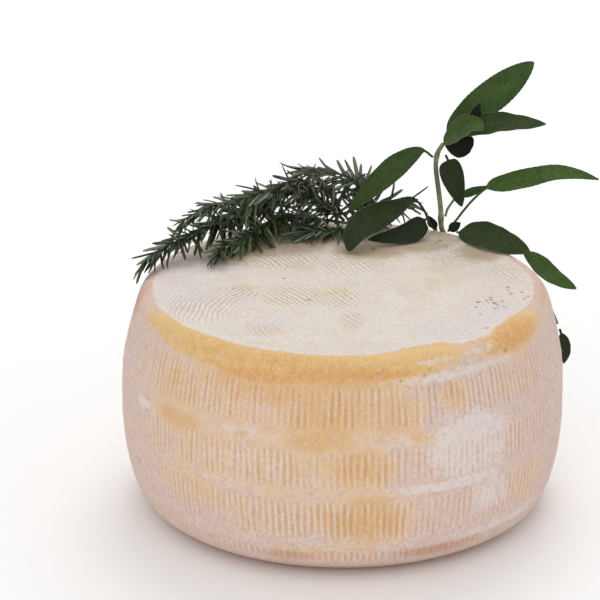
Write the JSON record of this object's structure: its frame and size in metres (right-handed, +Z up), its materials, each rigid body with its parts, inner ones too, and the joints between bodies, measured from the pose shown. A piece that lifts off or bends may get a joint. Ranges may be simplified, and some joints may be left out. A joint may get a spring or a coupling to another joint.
{
  "type": "cheese wheel",
  "caption": "Whole round of basket-moulded hard cheese with a ribbed rind and a pale flat top, garnished with rosemary and sage.",
  "frame": {"origin": "centre of the wheel's underside", "axes": "+Z up along the wheel's axis, -Y towards its front, +X to the right seen from the front"},
  "size_m": [0.3, 0.269, 0.2478],
  "materials": {
    "rind": "dry washed rind with pale bloom",
    "needles": "waxy dark green needles",
    "stem": "downy green stem",
    "leaf": "downy green leaf"
  },
  "bodies": {
    "root": {"cheese_wheel": "rind", "sage_stem": "stem", "sage_stalk": "stem", "sage_low_stem": "stem", "sage_leaf_top": "leaf", "sage_leaf_right_high": "leaf", "sage_leaf_curled": "leaf", "sage_leaf_under": "leaf", "sage_leaf_hanging": "leaf", "sage_leaf_left_high": "leaf", "sage_leaf_left_low": "leaf", "sage_leaf_lying": "leaf", "sage_leaf_long": "leaf", "sage_leaf_small": "leaf", "sage_leaf_rim_1": "leaf", "sage_leaf_rim_2": "leaf", "sage_leaf_side": "leaf", "sage_leaf_base_left": "leaf", "sage_leaf_base_right": "leaf", "sage_leaf_tip": "leaf", "rosemary_sprig_front": "needles", "rosemary_sprig_left": "needles", "rosemary_sprig_upper": "needles", "rosemary_sprig_back": "needles", "rosemary_sprig_inner": "needles", "rosemary_sprig_middle": "needles", "rosemary_sprig_low": "needles", "rosemary_sprig_right": "needles"}
  },
  "joints": []
}
